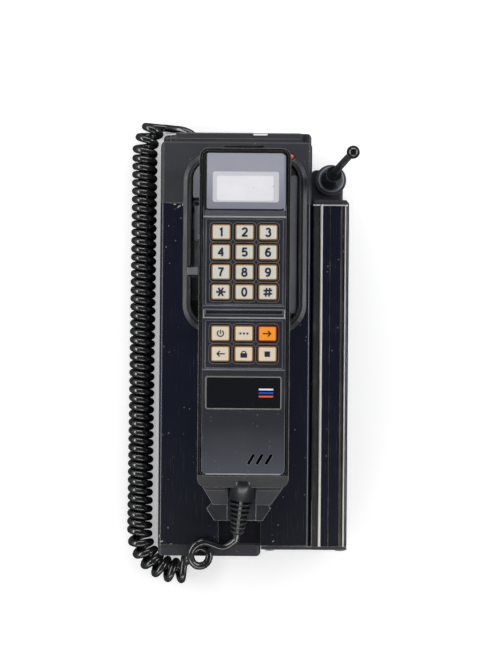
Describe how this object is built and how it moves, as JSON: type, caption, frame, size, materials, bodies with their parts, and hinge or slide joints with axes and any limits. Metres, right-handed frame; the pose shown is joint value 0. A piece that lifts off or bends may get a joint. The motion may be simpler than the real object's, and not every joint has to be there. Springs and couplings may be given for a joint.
{
  "type": "cellular bag phone",
  "caption": "Transportable cellular phone on its back: aluminium-cased radio unit with a handset in its cradle, slide-off battery, stub antenna and curly cord.",
  "frame": {"origin": "middle of the unit's footprint on the table, cord not counted", "axes": "+X to the battery's side, +Y to the display and antenna end, +Z out of the face"},
  "size_m": [0.145, 0.3087, 0.2213],
  "materials": {
    "case_coat": "glossy dark coating over brushed metal",
    "cap_plastic": "fine texture",
    "cradle_plastic": "fine texture",
    "handset_plastic": "fine texture",
    "inner_plastic": "smooth",
    "plated_steel": "plated",
    "nickel": "dull nickel",
    "brass_pin": "polished",
    "foot_rubber": "matte",
    "cord_jacket": "satin",
    "antenna_rubber": "satin",
    "lamp": "clear amber",
    "board_laminate": "solder mask",
    "mat_rubber": "matte",
    "lens": "tinted, with a printed dark border",
    "display": "pale grey, unlit",
    "plate": "printed bars",
    "foot_plate_metal": "dark, worn at its edges",
    "cell_wrap": "shrink sleeve",
    "key_grey": "warm grey, dark legends",
    "key_cream": "cream, dark legends",
    "key_orange": "orange, dark legend"
  },
  "bodies": {
    "radio_unit": {"transceiver_case": "case_coat", "top_cap": "cap_plastic", "bottom_cap": "cap_plastic", "cradle_cup": "cradle_plastic", "cradle_rest": "cradle_plastic", "cradle_screws": "plated_steel", "end_screws": "plated_steel", "rubber_feet": "foot_rubber", "status_led": "lamp", "radio_board": "board_laminate", "shield_cans": "plated_steel", "duplexer": "plated_steel", "handset_socket": "inner_plastic", "power_socket": "inner_plastic", "antenna_block": "cap_plastic", "antenna_jack": "nickel", "battery_contacts": "brass_pin", "reed_switch": "inner_plastic", "cord_plug": "inner_plastic", "cord_tail": "cord_jacket", "cord_coil": "cord_jacket", "cord_lead": "cord_jacket"},
    "release_lever": {"release_lever": "cradle_plastic"},
    "handset": {"handset_rear_shell": "handset_plastic", "handset_front_shell": "handset_plastic", "display_lens": "lens", "lcd_module": "display", "handset_board": "board_laminate", "keypad_mat": "mat_rubber", "earpiece_speaker": "inner_plastic", "microphone": "plated_steel", "name_plate": "plate", "cord_boot": "cord_jacket", "hook_magnet": "plated_steel"},
    "battery": {"battery_sleeve": "case_coat", "battery_top_cap": "cap_plastic", "battery_foot_plate": "foot_plate_metal", "battery_cells": "cell_wrap", "battery_screws": "plated_steel"},
    "antenna": {"antenna_base": "antenna_rubber", "antenna_whip": "antenna_rubber"},
    "antenna_nut": {"antenna_nut": "antenna_rubber"},
    "key_1": {"key_1": "key_grey"},
    "key_2": {"key_2": "key_grey"},
    "key_3": {"key_3": "key_grey"},
    "key_4": {"key_4": "key_grey"},
    "key_5": {"key_5": "key_grey"},
    "key_6": {"key_6": "key_grey"},
    "key_7": {"key_7": "key_grey"},
    "key_8": {"key_8": "key_grey"},
    "key_9": {"key_9": "key_grey"},
    "key_star": {"key_star": "key_grey"},
    "key_0": {"key_0": "key_grey"},
    "key_hash": {"key_hash": "key_grey"},
    "fkey_1": {"fkey_1": "key_cream"},
    "fkey_2": {"fkey_2": "key_cream"},
    "fkey_3": {"fkey_3": "key_orange"},
    "fkey_4": {"fkey_4": "key_cream"},
    "fkey_5": {"fkey_5": "key_cream"},
    "fkey_6": {"fkey_6": "key_cream"}
  },
  "joints": [
    {"name": "handset_lift", "type": "slide", "parent": "radio_unit", "child": "handset", "axis": [0, 0, 1], "range_m": [0, 0.06]},
    {"name": "lever_pivot", "type": "hinge", "parent": "radio_unit", "child": "release_lever", "pos_m": [-0.0369, 0.0895, 0.0555], "axis": [0, 0, -1], "range_deg": [0, 2], "stiffness_Nm_per_rad": 0.3},
    {"name": "battery_slide", "type": "slide", "parent": "radio_unit", "child": "battery", "axis": [0, -1, 0], "range_m": [0, 0.23]},
    {"name": "antenna_rise", "type": "slide", "parent": "radio_unit", "child": "antenna", "axis": [0, 0, 1], "range_m": [0, 0.008]},
    {"name": "antenna_nut_turn", "type": "hinge", "parent": "antenna", "child": "antenna_nut", "pos_m": [0.04945, 0.1073, 0.043], "axis": [0, 0, 1], "range_deg": [0, 2880]},
    {"name": "key_1_press", "type": "slide", "parent": "handset", "child": "key_1", "axis": [0, 0, -1], "range_m": [0, 0.0012], "stiffness_N_per_m": 800},
    {"name": "key_2_press", "type": "slide", "parent": "handset", "child": "key_2", "axis": [0, 0, -1], "range_m": [0, 0.0012], "stiffness_N_per_m": 800},
    {"name": "key_3_press", "type": "slide", "parent": "handset", "child": "key_3", "axis": [0, 0, -1], "range_m": [0, 0.0012], "stiffness_N_per_m": 800},
    {"name": "key_4_press", "type": "slide", "parent": "handset", "child": "key_4", "axis": [0, 0, -1], "range_m": [0, 0.0012], "stiffness_N_per_m": 800},
    {"name": "key_5_press", "type": "slide", "parent": "handset", "child": "key_5", "axis": [0, 0, -1], "range_m": [0, 0.0012], "stiffness_N_per_m": 800},
    {"name": "key_6_press", "type": "slide", "parent": "handset", "child": "key_6", "axis": [0, 0, -1], "range_m": [0, 0.0012], "stiffness_N_per_m": 800},
    {"name": "key_7_press", "type": "slide", "parent": "handset", "child": "key_7", "axis": [0, 0, -1], "range_m": [0, 0.0012], "stiffness_N_per_m": 800},
    {"name": "key_8_press", "type": "slide", "parent": "handset", "child": "key_8", "axis": [0, 0, -1], "range_m": [0, 0.0012], "stiffness_N_per_m": 800},
    {"name": "key_9_press", "type": "slide", "parent": "handset", "child": "key_9", "axis": [0, 0, -1], "range_m": [0, 0.0012], "stiffness_N_per_m": 800},
    {"name": "key_star_press", "type": "slide", "parent": "handset", "child": "key_star", "axis": [0, 0, -1], "range_m": [0, 0.0012], "stiffness_N_per_m": 800},
    {"name": "key_0_press", "type": "slide", "parent": "handset", "child": "key_0", "axis": [0, 0, -1], "range_m": [0, 0.0012], "stiffness_N_per_m": 800},
    {"name": "key_hash_press", "type": "slide", "parent": "handset", "child": "key_hash", "axis": [0, 0, -1], "range_m": [0, 0.0012], "stiffness_N_per_m": 800},
    {"name": "fkey_1_press", "type": "slide", "parent": "handset", "child": "fkey_1", "axis": [0, 0, -1], "range_m": [0, 0.0012], "stiffness_N_per_m": 800},
    {"name": "fkey_2_press", "type": "slide", "parent": "handset", "child": "fkey_2", "axis": [0, 0, -1], "range_m": [0, 0.0012], "stiffness_N_per_m": 800},
    {"name": "fkey_3_press", "type": "slide", "parent": "handset", "child": "fkey_3", "axis": [0, 0, -1], "range_m": [0, 0.0012], "stiffness_N_per_m": 800},
    {"name": "fkey_4_press", "type": "slide", "parent": "handset", "child": "fkey_4", "axis": [0, 0, -1], "range_m": [0, 0.0012], "stiffness_N_per_m": 800},
    {"name": "fkey_5_press", "type": "slide", "parent": "handset", "child": "fkey_5", "axis": [0, 0, -1], "range_m": [0, 0.0012], "stiffness_N_per_m": 800},
    {"name": "fkey_6_press", "type": "slide", "parent": "handset", "child": "fkey_6", "axis": [0, 0, -1], "range_m": [0, 0.0012], "stiffness_N_per_m": 800}
  ],
  "couplings": [
    {"joint": "antenna_rise", "follows": "antenna_nut_turn", "m_per_rad": 0.00015915}
  ]
}
